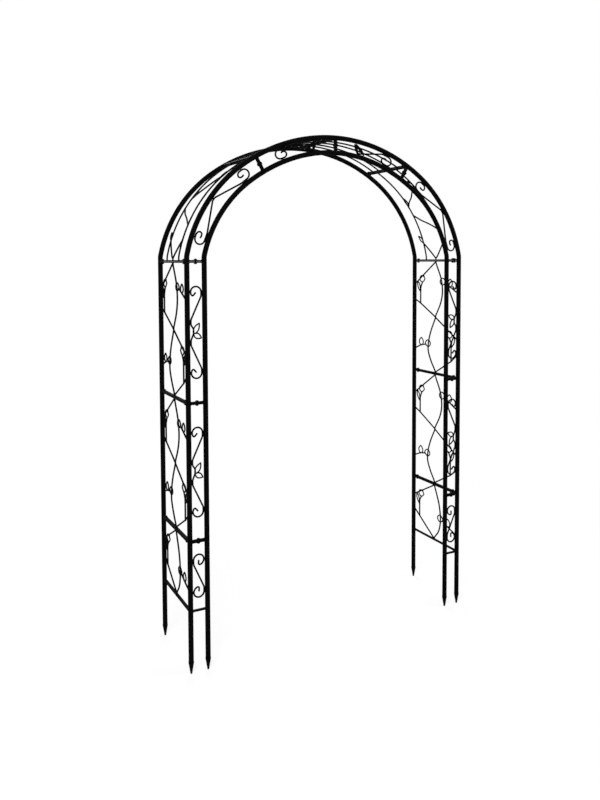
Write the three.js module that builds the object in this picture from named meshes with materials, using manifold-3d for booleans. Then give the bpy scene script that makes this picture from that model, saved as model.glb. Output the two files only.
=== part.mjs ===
// A free-standing garden arch of welded steel tube, flat strip and bent wire.
// Millimetres, +Z up. Left is -X, the front is -Y, the ground points stand on Z = 0.
import * as THREE from 'three';
import { mergeVertices } from 'three/addons/utils/BufferGeometryUtils.js';
import Module from 'manifold-3d';

const wasm = await Module();
wasm.setup();

// Overall sizes
const span = 1400; // between the centre lines of the outer legs
const depth = 365; // between the centre lines of the front and back legs
const bandWidth = 73.5; // between the centre lines of the two front arches over the haunches
const crownBandWidth = 66; // the same at the crown, where they draw together
const footRailHeight = 265;
const lowJointHeight = 560;
const midJointHeight = 1140;
const springHeight = 1725;
const archRise = 548; // from the springing to the crown, on the outer centre line
const shoulderArcLength = 562; // from the springing to the shoulder joint along the outer arch
const socketLength = 20; // upright foot of every arch tube, which takes a leg's spigot
const kinkAngle = THREE.MathUtils.degToRad(11); // lean of the arch above its sockets
const haunchTurn = THREE.MathUtils.degToRad(43); // turned on the tighter radius

// Tube, wire and strip
const tubeRadius = 11;
const tubeWall = 1.2;
const spigotLength = 17;
const swageLength = 4;
const wireRadius = 3.75;
const stripWidth = 14;
const stripThickness = 6;
const clearance = 0.3; // between pieces that touch
const archSlack = 0.5; // added where wires lie under the outer arch, whose faces are straight between stops
const weldTolerance = 0.15; // the finest detail kept where wires are welded together

// Ground points
const pointTipRadius = 4;
const pointCollarRadius = 11.9;
const pointTaperLength = 46;
const pointCollarLength = 6;
const pointPlugLength = 28;

// Fasteners
const boltRadius = 3;
const boltHoleRadius = 4.1; // to the corners
const boltHeadRadius = 7.5;
const boltHeadHeight = 5.5;
const nutRadius = 7.2;
const nutHeight = 5.2;
const sideBoltInset = 34; // from a tube's centre line

// Leaves of bent wire, along their centre lines
const leafLength = 44;
const leafWidth = 35;
const slimLeafWidth = 18;
const legLeafWidth = 21;
const crownLeafWidth = 8;

// Counts
const tubeSides = 8;
const wireSides = 4;
const boltSides = 6;
const holeSides = 5;
const haunchSteps = 10;
const crownSteps = 7;
const rodSteps = 6;

const steel = { color: 0x0c0c0d, roughness: 0.48, metalness: 0.35 };
const fastenerSteel = { color: 0x161617, roughness: 0.36, metalness: 0.7 };

const arch = archRadii();
const wireTouch = tubeRadius + clearance + wireRadius; // from a tube's axis to a wire that lies against it
const tubeFace = tubeRadius + clearance; // where a piece that butts on a tube ends
const tubeWeld = tubeRadius - tubeWall / 2; // where a piece that is welded to a tube ends
const stripFace = clearance / 2 + stripThickness; // from a joint's plane to the inner face of a strip
const pointTop = pointTaperLength + pointCollarLength;

// Above its sockets the outer arch has three centres: two haunches and a wider crown with a common tangent.
function archRadii() {
  const end = kinkAngle + haunchTurn;
  const a = Math.cos(kinkAngle) - Math.cos(end);
  const b = Math.cos(end);
  const c = Math.sin(end) - Math.sin(kinkAngle);
  const d = 1 - Math.sin(end);
  const det = a * d - b * c;
  const halfSpan = span / 2;
  const rise = archRise - socketLength;
  const haunch = (halfSpan * d - rise * b) / det;
  const crown = (rise * a - halfSpan * c) / det;
  const haunchX = haunch * Math.cos(kinkAngle) - halfSpan;
  const haunchZ = springHeight + socketLength - haunch * Math.sin(kinkAngle);
  return {
    end, haunch, crown, haunchX, haunchZ,
    crownX: haunchX - (haunch - crown) * Math.cos(end),
    crownZ: haunchZ + (haunch - crown) * Math.sin(end),
  };
}

// A point of the left half of the arch at an angle from the upright, inset from the outer arch.
function archPoint(angle, inset, y) {
  const onHaunch = angle <= arch.end;
  const radius = (onHaunch ? arch.haunch : arch.crown) - inset;
  const x = (onHaunch ? arch.haunchX : arch.crownX) - radius * Math.cos(angle);
  const z = (onHaunch ? arch.haunchZ : arch.crownZ) + radius * Math.sin(angle);
  return new THREE.Vector3(x, y, z);
}

const innerKinkAngle = Math.asin(arch.haunch * Math.sin(kinkAngle) / (arch.haunch - bandWidth));
const innerLegX = archPoint(innerKinkAngle, bandWidth, 0).x;
const legGap = innerLegX + span / 2; // between the centre lines of the two front legs

// Between the centre lines of the two front arches at an angle from the upright.
function bandAt(angle) {
  const raised = THREE.MathUtils.smoothstep(angle, arch.end, Math.PI / 2);
  return THREE.MathUtils.lerp(bandWidth, crownBandWidth, raised);
}

const side = { left: -1, right: 1 };

// A column is one leg and the half arch that it runs into. Lengths along it count from the springing, on the
// radii that its first inset gives.
const columns = {
  back: { inset: 0, insetAt: () => 0, x: -span / 2, y: depth / 2, kink: kinkAngle },
  outer: { inset: 0, insetAt: () => 0, x: -span / 2, y: -depth / 2, kink: kinkAngle },
  inner: { inset: bandWidth, insetAt: bandAt, x: innerLegX, y: -depth / 2, kink: innerKinkAngle },
};

function angleAt(column, s) {
  const haunchRadius = arch.haunch - column.inset;
  const haunchLength = haunchRadius * (arch.end - column.kink);
  const beyond = s - socketLength - haunchLength;
  if (beyond <= 0) return column.kink + (s - socketLength) / haunchRadius;
  return arch.end + beyond / (arch.crown - column.inset);
}

function lengthAt(column, angle) {
  const haunchTurned = Math.min(angle, arch.end) - column.kink;
  const crownTurned = Math.max(angle - arch.end, 0);
  const haunchLength = (arch.haunch - column.inset) * haunchTurned;
  return socketLength + haunchLength + (arch.crown - column.inset) * crownTurned;
}

// Place, direction and inward direction on a column of the left side.
function frameAt(column, s) {
  const upright = s <= socketLength;
  const atKink = Math.abs(s - socketLength) < clearance;
  const angle = upright ? 0 : angleAt(column, s);
  const lean = atKink ? column.kink / 2 : angle;
  const standing = new THREE.Vector3(column.x, column.y, springHeight + s);
  return {
    point: upright ? standing : archPoint(angle, column.insetAt(angle), column.y),
    along: new THREE.Vector3(Math.sin(lean), 0, Math.cos(lean)),
    inward: new THREE.Vector3(Math.cos(lean), 0, -Math.sin(lean)),
  };
}

const shoulderAngle = angleAt(columns.outer, shoulderArcLength);

// Mirrors a geometry built for the left side where it belongs to the right one.
function placed(geometry, sign) {
  if (sign > 0) geometry.scale(-1, 1, 1);
  return outward(geometry);
}

// Merged corners, and faces that all point out of the body.
function outward(geometry) {
  const body = geometry.clone();
  body.deleteAttribute('normal');
  body.deleteAttribute('uv');
  const merged = mergeVertices(body);
  const all = Array.from(merged.index.array);
  const index = all.filter((_, i) => new Set(all.slice(i - i % 3, i - i % 3 + 3)).size === 3);
  if (signedVolume(merged) < 0) {
    for (let i = 0; i < index.length; i += 3) [index[i], index[i + 1]] = [index[i + 1], index[i]];
  }
  merged.setIndex(index);
  return merged;
}

function signedVolume(geometry) {
  const position = geometry.attributes.position;
  const index = geometry.index.array;
  const corners = [new THREE.Vector3(), new THREE.Vector3(), new THREE.Vector3()];
  let volume = 0;
  for (let i = 0; i < index.length; i += 3) {
    corners.forEach((corner, k) => corner.fromBufferAttribute(position, index[i + k]));
    volume += corners[0].dot(corners[1].clone().cross(corners[2]));
  }
  return volume;
}

function toManifold(geometry) {
  const body = outward(geometry);
  return new wasm.Manifold(new wasm.Mesh({
    numProp: 3,
    vertProperties: new Float32Array(body.attributes.position.array),
    triVerts: new Uint32Array(body.index.array),
  }));
}

// Joins overlapping wires into one body, as their welds do.
function welded(geometries) {
  let body = toManifold(geometries[0]);
  for (const geometry of geometries.slice(1)) body = body.add(toManifold(geometry));
  const mesh = body.asOriginal().simplify(weldTolerance).getMesh();
  const result = new THREE.BufferGeometry();
  const corners = Float32Array.from(mesh.vertProperties);
  result.setAttribute('position', new THREE.BufferAttribute(corners, mesh.numProp));
  result.setIndex(Array.from(mesh.triVerts));
  return result;
}

// A route through given points, whose sections stand on the bisectors of its bends.
class Route extends THREE.Curve {
  constructor(points, closed = false) {
    super();
    this.points = closed ? [...points, points[0]] : points;
    this.closed = closed;
  }

  getPointAt(u) {
    return this.points[Math.round(u * (this.points.length - 1))].clone();
  }

  getTangentAt(u) {
    const last = this.points.length - 1;
    const i = Math.round(u * last);
    const isEnd = i === 0 || i === last;
    const before = this.closed && isEnd ? last - 1 : Math.max(i - 1, 0);
    const after = this.closed && isEnd ? 1 : Math.min(i + 1, last);
    const middle = this.points[i];
    const arriving = middle.clone().sub(this.points[before]).normalize();
    const leaving = this.points[after].clone().sub(middle).normalize();
    return arriving.add(leaving).normalize();
  }
}

const wireSection = new THREE.Shape(ring(wireRadius, wireSides));

function ring(radius, sides) {
  const points = [];
  for (let i = 0; i < sides; i++) {
    const angle = 2 * Math.PI * i / sides;
    points.push(new THREE.Vector2(radius * Math.cos(angle), radius * Math.sin(angle)));
  }
  return points;
}

// Shortens a route's last stretch so that its square end stays clear of the face that it meets.
function eased(points, faceNormal) {
  const last = points.at(-1);
  const along = last.clone().sub(points.at(-2)).normalize();
  const cosine = Math.abs(along.dot(faceNormal));
  const slack = wireRadius * Math.sqrt(1 - cosine * cosine) / cosine;
  return [...points.slice(0, -1), last.clone().addScaledVector(along, -slack)];
}

// A bent wire. The face that its end meets, if any, is given by its normal.
function wire(points, endNormal = null) {
  const route = endNormal ? eased(points, endNormal) : points;
  return new THREE.ExtrudeGeometry(wireSection, {
    steps: route.length - 1, extrudePath: new Route(route), bevelEnabled: false,
  });
}

// Half outlines of the leaves, in shares of their length and width.
const slimShares = [[0, 0], [0.3, 0.5], [0.72, 0.4], [1, 0]];
const roundShares = [[0, 0], [0.14, 0.4], [0.46, 0.5], [0.8, 0.36], [1, 0]];

// A leaf: a ring of wire bowed out between a base and a tip on a flat or curved sheet.
function leaf(map, base, tip, width, halfShares = slimShares) {
  const shares = [...halfShares, ...halfShares.slice(1, -1).reverse().map(([a, b]) => [a, -b])];
  const axis = new THREE.Vector2().subVectors(tip, base);
  const across = new THREE.Vector2(-axis.y, axis.x).normalize();
  const points = shares.map(([along, bulge]) => {
    const spot = base.clone().addScaledVector(axis, along);
    return map(spot.addScaledVector(across, width * bulge));
  });
  return new THREE.TubeGeometry(new Route(points, true), points.length, wireRadius, wireSides, true);
}

// Tubes

// Half section of a tube with rings at the given heights. A spigot is the reduced end that the next tube
// takes, and a ground point is a solid foot: a blunt taper under a collar, and a plug inside the tube.
function tubeProfile(heights, hasSpigot, hasPoint) {
  const length = heights.at(-1);
  const bore = tubeRadius - tubeWall;
  const spigot = bore - clearance;
  const spigotBore = spigot - tubeWall;
  const foot = hasPoint ? [
    [0, 0], [pointTipRadius, 0], [pointCollarRadius, pointTaperLength], [pointCollarRadius, pointTop],
  ] : [];
  const outside = heights.map((h) => [tubeRadius, hasPoint ? Math.max(h, pointTop) : h]);
  const end = hasSpigot ? [
    [spigot, length + clearance], [spigot, length + spigotLength],
    [spigotBore, length + spigotLength], [spigotBore, length],
  ] : [];
  const inside = heights.map((h) => [bore, hasPoint ? Math.max(h, pointTop + pointPlugLength) : h]).reverse();
  if (hasSpigot) inside[0][1] = length - swageLength;
  const close = hasPoint ? [0, pointTop + pointPlugLength] : outside[0];
  return [...foot, ...outside, ...end, ...inside, close].map(([r, h]) => new THREE.Vector2(r, h));
}

// A tube along a column between two planes, with rings at its ends and at the given stops.
function tube(column, section) {
  const hasPoint = !section.low;
  const start = hasPoint ? -springHeight : section.low.lengthOn(column) + clearance / 2;
  const end = section.high.lengthOn(column) - clearance / 2;
  const heights = [start, ...section.stops(column), end].map((s) => s - start);
  const geometry = new THREE.LatheGeometry(tubeProfile(heights, section.hasSpigot, hasPoint), tubeSides);
  const position = geometry.attributes.position;
  for (let i = 0; i < position.count; i++) {
    const { point, along, inward } = frameAt(column, start + position.getY(i));
    const across = new THREE.Vector3().crossVectors(along, inward);
    point.addScaledVector(inward, position.getX(i)).addScaledVector(across, position.getZ(i));
    position.setXYZ(i, point.x, point.y, point.z);
  }
  return geometry;
}

// Evenly spaced stops between two lengths, without the last one.
function evenStops(from, to, count) {
  return Array.from({ length: count - 1 }, (_, i) => from + (to - from) * (i + 1) / count);
}

// Strips

// The plane where two sections meet: its place on a column, and the distance of the front tubes there.
function jointPlane(height) {
  return { lengthOn: () => height - springHeight, gap: legGap };
}

function archJointPlane(angle) {
  return { lengthOn: (column) => lengthAt(column, angle), gap: bandAt(angle) };
}

// A strip's end, coped to the two faces of a tube of the given radius that it meets.
function copedEnd(radius) {
  const side = stripWidth / 2;
  const corner = Math.min(radius * Math.SQRT1_2, side);
  const reach = radius - corner * (Math.SQRT2 - 1);
  const edge = Math.max(side + clearance, reach);
  return [[edge, side], [reach, corner], [radius, 0], [reach, -corner], [edge, -side]];
}

// A flat strip from one tube to the next, drilled for its bolts.
function strip(length, startRadius, endRadius, boltPlaces) {
  const start = copedEnd(startRadius);
  const end = copedEnd(endRadius).reverse().map(([x, y]) => [length - x, y]);
  const outline = new THREE.Shape([...start, ...end].map(([x, y]) => new THREE.Vector2(x, y)));
  for (const place of boltPlaces) {
    const hole = ring(boltHoleRadius, holeSides).map((p) => new THREE.Vector2(place + p.x, p.y));
    outline.holes.push(new THREE.Path([...hole, hole[0].clone()]));
  }
  return new THREE.ExtrudeGeometry(outline, { depth: stripThickness, bevelEnabled: false });
}

function laid(geometry, frame, along, offset) {
  const across = new THREE.Vector3().crossVectors(frame.along, along);
  const basis = new THREE.Matrix4().makeBasis(along, across, frame.along);
  return geometry.applyMatrix4(basis.setPosition(frame.point.clone().addScaledVector(frame.along, offset)));
}

// The strip between the two front tubes, welded to both.
function frontStrip({ plane, offset, isBolted }) {
  const frame = frameAt(columns.outer, plane.lengthOn(columns.outer));
  const piece = strip(plane.gap, tubeWeld, tubeWeld, isBolted ? [plane.gap / 2] : []);
  return laid(piece, frame, frame.inward, offset);
}

// The strip from the back tube to the outer front tube, coped to the back one at the given radius.
function sideStrip({ plane, offset, isBolted }, startRadius) {
  const frame = frameAt(columns.back, plane.lengthOn(columns.back));
  const bolts = isBolted ? [sideBoltInset, depth - sideBoltInset] : [];
  const piece = strip(depth, startRadius, tubeFace, bolts);
  return laid(piece, frame, new THREE.Vector3(0, -1, 0), offset);
}

// Fasteners

// A bolt with a domed head, tightened in its nut on both strips of a joint.
function bolt() {
  const grip = stripFace + clearance;
  const profile = [
    [0, grip + boltHeadHeight], [boltHeadRadius * 0.62, grip + boltHeadHeight * 0.84], [boltHeadRadius, grip],
    [boltRadius, grip], [boltRadius, -grip], [nutRadius, -grip], [nutRadius, -grip - nutHeight],
    [0, -grip - nutHeight],
  ].map(([r, h]) => new THREE.Vector2(r, h));
  return new THREE.LatheGeometry(profile, boltSides).rotateX(Math.PI / 2);
}

// Three bolts for each joint: one in the front strips, two in the side strips.
function jointBolts(plane) {
  const front = frameAt(columns.outer, plane.lengthOn(columns.outer));
  const back = frameAt(columns.back, plane.lengthOn(columns.back));
  const forward = new THREE.Vector3(0, -1, 0);
  const at = (frame, along, distance) => {
    const moved = { ...frame, point: frame.point.clone().addScaledVector(along, distance) };
    return laid(bolt(), moved, frame.inward, 0);
  };
  return {
    front: at(front, front.inward, plane.gap / 2),
    side_front: at(back, forward, depth - sideBoltInset),
    side_back: at(back, forward, sideBoltInset),
  };
}

// Front scrollwork, drawn on a sheet: x from the outer tube to the inner one, y along them.

// How much longer than wide the crook of each kind of scroll is.
const crookShares = { leg: 1, foot: 1, haunch: 1.1, crown: 1.2 };

// How each kind of scroll leaves its crook for the hook at its end: shares of a turn and of the radius.
const hookShares = {
  leg: [[0.6, 1.02], [0.63, 0.93], [0.65, 0.55], [0.66, 0.1]],
  foot: [[0.6, 1], [0.69, 1], [0.74, 0.92], [0.76, 0.7], [0.755, 0.1]],
  haunch: [[0.56, 1.08], [0.615, 1.25], [0.67, 1.34], [0.72, 1.26], [0.755, 1], [0.775, 0.6], [0.72, 0.15]],
  crown: [[0.59, 1.16], [0.64, 1.24], [0.69, 1.25], [0.75, 1.1], [0.8, 0.85], [0.845, 0.5], [0.86, 0.2]],
};

// The crook at the end of a scroll: half an oval, then a hook into its centre.
function crook(kind, centre, radius, startTurn, direction) {
  const half = [0, 0.1, 0.2, 0.3, 0.4, 0.5].map((turned) => [turned, 1]);
  return [...half, ...hookShares[kind]].map(([turned, radiusShare]) => {
    const angle = 2 * Math.PI * (startTurn + direction * turned);
    const reach = radius * radiusShare;
    const along = reach * crookShares[kind];
    return new THREE.Vector2(centre.x + reach * Math.cos(angle), centre.y + along * Math.sin(angle));
  });
}

function mapped(map, points) {
  return wire(points.map((p) => map(p)));
}

// A leg bay: a scroll at either end and a shallow bend with two leaves between them.
function legScroll(map, low, high, flipped) {
  const height = high - low;
  const middle = (low + high) / 2;
  const sign = flipped ? -1 : 1;
  const outerX = wireTouch;
  const innerX = legGap - wireTouch;
  const radius = (innerX - outerX) / 2;
  const scrollShare = 0.292;
  const tangentShare = 0.265;
  const diagonalShare = 0.092;
  const bendShare = 0.056;
  const apexShares = { 1: 0.026, [-1]: -0.006 };
  const apexX = outerX + legGap * 0.15;
  const leafTipShares = [[0.68, 0.067], [innerX / legGap, -0.041]];
  const spot = (x, share) => new THREE.Vector2(x, middle + sign * share * height);
  const arm = (end) => [
    spot(apexX, apexShares[end]), spot(outerX, end * bendShare), spot(outerX, end * diagonalShare),
    spot(innerX, end * tangentShare),
    ...crook('leg', spot((outerX + innerX) / 2, end * scrollShare), radius, 0, sign * end),
  ];
  const path = [...arm(1).reverse(), ...arm(-1)];
  const leafBase = spot(apexX, -0.01);
  return [
    mapped(map, path),
    ...leafTipShares.map(([x, y]) => leaf(map, leafBase, spot(x * legGap, y), legLeafWidth)),
  ];
}

// The foot bay: one S with a scroll at either end.
function footScroll(map, low, high) {
  const height = high - low;
  const outerX = wireTouch;
  const innerX = legGap - wireTouch;
  const centreX = legGap / 2;
  const radius = (innerX - outerX) / 2;
  const middle = (low + high) / 2;
  const scrollShare = 0.24;
  const tangentShare = 0.185;
  const upper = [
    new THREE.Vector2(outerX, middle + tangentShare * height),
    ...crook('foot', new THREE.Vector2(centreX, middle + scrollShare * height), radius, 0.5, -1),
  ];
  const lower = upper.map((p) => new THREE.Vector2(legGap - p.x, 2 * middle - p.y));
  return [mapped(map, [...upper.reverse(), ...lower])];
}

// The haunch: scrolls against the inner arch and one vertex on the outer arch between them.
function haunchScroll(map, low, high, isFlipped) {
  const outerX = wireTouch + archSlack;
  const innerX = bandWidth - wireTouch;
  const radius = (innerX - outerX) / 2;
  const length = high - low;
  const middleShare = isFlipped ? 0.47 : 0.516;
  const middle = low + length * middleShare;
  const scrollShare = 0.332;
  const tangentShare = 0.265;
  const vertexShare = 0.016;
  const centreX = (outerX + innerX) / 2;
  const arm = (end) => [
    new THREE.Vector2(outerX, middle + end * vertexShare * length),
    new THREE.Vector2(innerX, middle + end * tangentShare * length),
    ...crook('haunch', new THREE.Vector2(centreX, middle + end * scrollShare * length), radius, 0, end),
  ];
  return [mapped(map, [...arm(1).reverse(), ...arm(-1)])];
}

// The crown: a scroll from the outer arch, a slanting run to the inner arch and two leaves side by side.
function crownScroll(map, low, high) {
  const outerX = wireTouch + archSlack;
  const innerX = bandWidth - wireTouch;
  const radius = (innerX - outerX) / 2;
  const length = high - low;
  const at = (x, share) => new THREE.Vector2(x, low + share * length);
  const scrollShare = 0.274;
  const runShares = { end: 0.715, inner: 0.665, outer: 0.363 };
  const leafShares = [
    { base: 0.611, tip: 0.733 },
    { base: 0.706, tip: 0.753 },
  ];
  const run = [
    at(innerX, runShares.end), at(innerX, runShares.inner), at(outerX, runShares.outer),
    ...crook('crown', at((outerX + innerX) / 2, scrollShare), radius, 0.5, 1),
  ];
  return [
    mapped(map, run),
    ...leafShares.map(({ base, tip }) => leaf(map, at(innerX, base), at(outerX, tip), crownLeafWidth)),
  ];
}

// Side and roof vines, drawn on a sheet: x from the back, y along the tubes.

const sideways = new THREE.Vector3(0, 1, 0);

// Half a bay of vine between two crossings: x from the near tube, y down from the top. A straight strand and
// a bowed one leave the crossing above, and the bowed one and a bent one meet in the crossing below.
function halfVine(place, height, shares, nearEnd, farEnd) {
  const v = (x, y) => new THREE.Vector2(x * depth, y * height);
  const at = (x, y) => place(v(x, y));
  const atEnd = (distance, y) => place(new THREE.Vector2(distance, y * height));
  const moved = (p, x, y) => p.clone().add(new THREE.Vector2(x, y));
  const crossingShare = 0.5;
  const forkShare = 0.03;
  const overshootShare = 0.008;
  const uprightShare = 0.15;
  const nearLeaf = v(...shares.nearLeaf);
  const farLeaf = v(...shares.farLeaf);
  const outerLeaf = v(...shares.outerLeaf);
  const linkStart = moved(farLeaf, leafLength * 0.42, leafWidth * 0.2);
  const outerBase = moved(outerLeaf, 0, leafLength * 0.45);
  const leafFoot = moved(nearLeaf, 0, leafWidth / 2);
  const elbow = at(uprightShare, shares.elbow);
  const bowed = [
    at(crossingShare, -overshootShare), at(crossingShare, forkShare),
    ...shares.bow.map(([x, y]) => at(x, y)),
    at(crossingShare, 1 - forkShare), at(crossingShare, 1 + overshootShare),
  ];
  const round = (base, tip) => leaf(place, base, tip, leafWidth, roundShares);
  return [
    wire(bowed),
    wire([at(crossingShare, forkShare), atEnd(nearEnd, shares.near)], sideways),
    wire([at(crossingShare, 1 - forkShare), elbow, atEnd(nearEnd, shares.branch)], sideways),
    wire([place(leafFoot), at(uprightShare, shares.upright), elbow]),
    round(moved(nearLeaf, -leafLength / 2, 0), moved(nearLeaf, leafLength / 2, 0)),
    leaf(place, v(...shares.slimLeaf[0]), v(...shares.slimLeaf[1]), slimLeafWidth),
    round(moved(farLeaf, -leafLength / 2, 0), moved(farLeaf, leafLength / 2, 0)),
    wire([place(linkStart), place(outerBase), atEnd(farEnd, shares.link)], sideways),
    round(outerBase, moved(outerLeaf, 0, -leafLength * 0.45)),
  ];
}

// The shares of the three half bays differ as they do on the object.
const upperHalfShares = {
  near: 0.4, upright: 0.48, elbow: 0.765, branch: 0.7, link: 0.54,
  nearLeaf: [0.19, 0.314], farLeaf: [0.66, 0.355], outerLeaf: [0.82, 0.375],
  slimLeaf: [[0.08, 0.36], [0.14, 0.55]],
  bow: [[0.615, 0.285], [0.645, 0.42], [0.65, 0.58], [0.61, 0.75]],
};
const lowerHalfShares = {
  near: 0.35, upright: 0.43, elbow: 0.75, branch: 0.63, link: 0.61,
  nearLeaf: [0.19, 0.281], farLeaf: [0.675, 0.49], outerLeaf: [0.83, 0.47],
  slimLeaf: [[0.08, 0.315], [0.14, 0.5]],
  bow: [[0.6, 0.25], [0.655, 0.45], [0.665, 0.62], [0.6, 0.8]],
};
const footHalfShares = {
  near: 0.32, upright: 0.4, elbow: 0.7, branch: 0.6, link: 0.73,
  nearLeaf: [0.19, 0.261], farLeaf: [0.635, 0.575], outerLeaf: [0.8, 0.59],
  slimLeaf: [[0.08, 0.288], [0.14, 0.47]],
  bow: [[0.6, 0.3], [0.63, 0.46], [0.64, 0.62], [0.6, 0.82]],
};

// A side panel's vine: one half bay over another that is its mirror image, or a single one at the foot, where
// the back tube stands apart from it.
function sideVine(low, high, isFoot) {
  const place = (top, isMirrored) => (p) => {
    const x = isMirrored ? depth - p.x : p.x;
    return new THREE.Vector3(-span / 2, depth / 2 - x, top - p.y);
  };
  if (isFoot) return halfVine(place(high, false), high - low, footHalfShares, tubeFace, depth - tubeFace);
  const middle = (low + high) / 2;
  return [
    ...halfVine(place(high, false), high - middle, upperHalfShares, tubeWeld, depth - tubeFace),
    ...halfVine(place(middle, true), middle - low, lowerHalfShares, tubeFace, depth - tubeWeld),
  ];
}

// A place on the curved sheet of the outer arches.
function roofPoint(x, s) {
  const { point } = frameAt(columns.back, s);
  return point.setY(depth / 2 - x);
}

// A rod along the arch between two shares of the depth.
function archRod(low, high, fromShare, toShare) {
  const points = [];
  for (let i = 0; i <= rodSteps; i++) {
    const t = i / rodSteps;
    points.push(roofPoint(depth * THREE.MathUtils.lerp(fromShare, toShare, t), low + t * (high - low)));
  }
  return wire(points);
}

// The haunch's roof: two rods, a strand that zigzags between them and three leaves.
function haunchVine(low, high) {
  const flat = (p) => roofPoint(p.x, low + p.y);
  const v = (x, y) => new THREE.Vector2(x * depth, y * (high - low));
  const backShare = 0.28;
  const frontShare = 1 - backShare;
  const strandShares = [
    [[backShare, 0.158], [0.39, 0.083], [0.5, 0.008], [0.61, 0.083], [frontShare, 0.158]],
    [[frontShare, 0.28], [0.566, 0.34], [0.403, 0.39], [backShare, 0.445]],
    [[backShare, 0.535], [0.345, 0.58], [0.48, 0.64], [0.585, 0.7], [frontShare, 0.77]],
  ];
  const leafShares = [
    [[backShare, 0.162], [0.208, 0.23]],
    [[0.3, 0.55], [0.29, 0.64]],
    [[0.7, 0.745], [0.68, 0.83]],
  ];
  return [
    archRod(low, high, backShare, backShare),
    archRod(low, high, frontShare, frontShare),
    ...strandShares.map((shares) => wire(shares.map(([x, y]) => flat(v(x, y))))),
    ...leafShares.map(([base, tip]) => leaf(flat, v(...base), v(...tip), slimLeafWidth)),
  ];
}

// The crown's roof: four rods that spread towards the shoulder.
function crownVine(low, high) {
  const outerShares = { shoulder: 0.21, crown: 0.28 };
  const innerShares = { shoulder: 0.36, crown: 0.43 };
  return [
    archRod(low, high, outerShares.shoulder, outerShares.crown),
    archRod(low, high, innerShares.shoulder, innerShares.crown),
    archRod(low, high, 1 - innerShares.shoulder, 1 - innerShares.crown),
    archRod(low, high, 1 - outerShares.shoulder, 1 - outerShares.crown),
  ];
}

// The whole arch

const planes = {
  footRail: jointPlane(footRailHeight),
  low: jointPlane(lowJointHeight),
  middle: jointPlane(midJointHeight),
  springing: jointPlane(springHeight),
  shoulder: archJointPlane(shoulderAngle),
  crown: archJointPlane(Math.PI / 2),
};

const haunchStops = (column) => [
  socketLength, ...evenStops(socketLength, lengthAt(column, shoulderAngle), haunchSteps),
];
const crownStops = (column) => {
  const first = lengthAt(column, shoulderAngle) + spigotLength;
  const last = lengthAt(column, Math.PI / 2) - spigotLength;
  return [first, ...evenStops(first, last, crownSteps), last];
};

// The sections of one side, from the ground up. Only the last one of the right side has no spigots.
function sectionsOf(sign) {
  const straight = () => [];
  return {
    foot: { low: null, high: planes.low, stops: straight, hasSpigot: true },
    lower: { low: planes.low, high: planes.middle, stops: straight, hasSpigot: true },
    upper: { low: planes.middle, high: planes.springing, stops: straight, hasSpigot: true },
    haunch: { low: planes.springing, high: planes.shoulder, stops: haunchStops, hasSpigot: true },
    crown: { low: planes.shoulder, high: planes.crown, stops: crownStops, hasSpigot: sign < 0 },
  };
}

// Where a section's two strips lie.
function edgesOf(section) {
  const top = { plane: section.high, offset: -stripFace, isBolted: true };
  if (section.low) return [{ plane: section.low, offset: clearance / 2, isBolted: true }, top];
  return [{ plane: planes.footRail, offset: -stripThickness / 2, isBolted: false }, top];
}

// Lengths on the outer column between the strips of a section, each inset into them or short of them.
function between(section, inset) {
  const low = section.low
    ? section.low.lengthOn(columns.outer) + stripFace
    : planes.footRail.lengthOn(columns.outer) + stripThickness / 2;
  return [low - inset, section.high.lengthOn(columns.outer) - stripFace + inset];
}

function frontFrame(section) {
  const tubes = [tube(columns.outer, section), tube(columns.inner, section)];
  return welded([...tubes, ...edgesOf(section).map(frontStrip)]);
}

function scrollwork(name, section, isFlipped) {
  const onLeg = (p) => new THREE.Vector3(-span / 2 + p.x, -depth / 2, springHeight + p.y);
  const onArch = (p) => {
    const angle = angleAt(columns.outer, p.y);
    const reach = bandAt(angle) - wireTouch;
    const inset = THREE.MathUtils.mapLinear(p.x, wireTouch, bandWidth - wireTouch, wireTouch, reach);
    return archPoint(angle, inset, -depth / 2);
  };
  const [low, high] = between(section, 0);
  const drawings = {
    foot: () => footScroll(onLeg, low, high),
    lower: () => legScroll(onLeg, low, high, isFlipped),
    upper: () => legScroll(onLeg, low, high, isFlipped),
    haunch: () => haunchScroll(onArch, low, high, isFlipped),
    crown: () => crownScroll(onArch, low, high),
  };
  return welded(drawings[name]());
}

// The strips of a side or roof panel, the vine between them and, above the foot, the back tube.
function vinePanel(name, section) {
  const [low, high] = between(section, stripThickness * 0.4);
  const drawings = {
    foot: () => sideVine(springHeight + low, springHeight + high, true),
    lower: () => sideVine(springHeight + low, springHeight + high, false),
    upper: () => sideVine(springHeight + low, springHeight + high, false),
    haunch: () => haunchVine(low, high),
    crown: () => crownVine(low, high),
  };
  const strips = edgesOf(section).map((edge) => sideStrip(edge, section.low ? tubeWeld : tubeFace));
  const tubes = section.low ? [tube(columns.back, section)] : [];
  return welded([...tubes, ...strips, ...drawings[name]()]);
}

const group = new THREE.Group();

function add(name, geometry, finish) {
  const mesh = new THREE.Mesh(geometry, new THREE.MeshStandardMaterial(finish));
  mesh.name = name;
  group.add(mesh);
}

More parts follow.
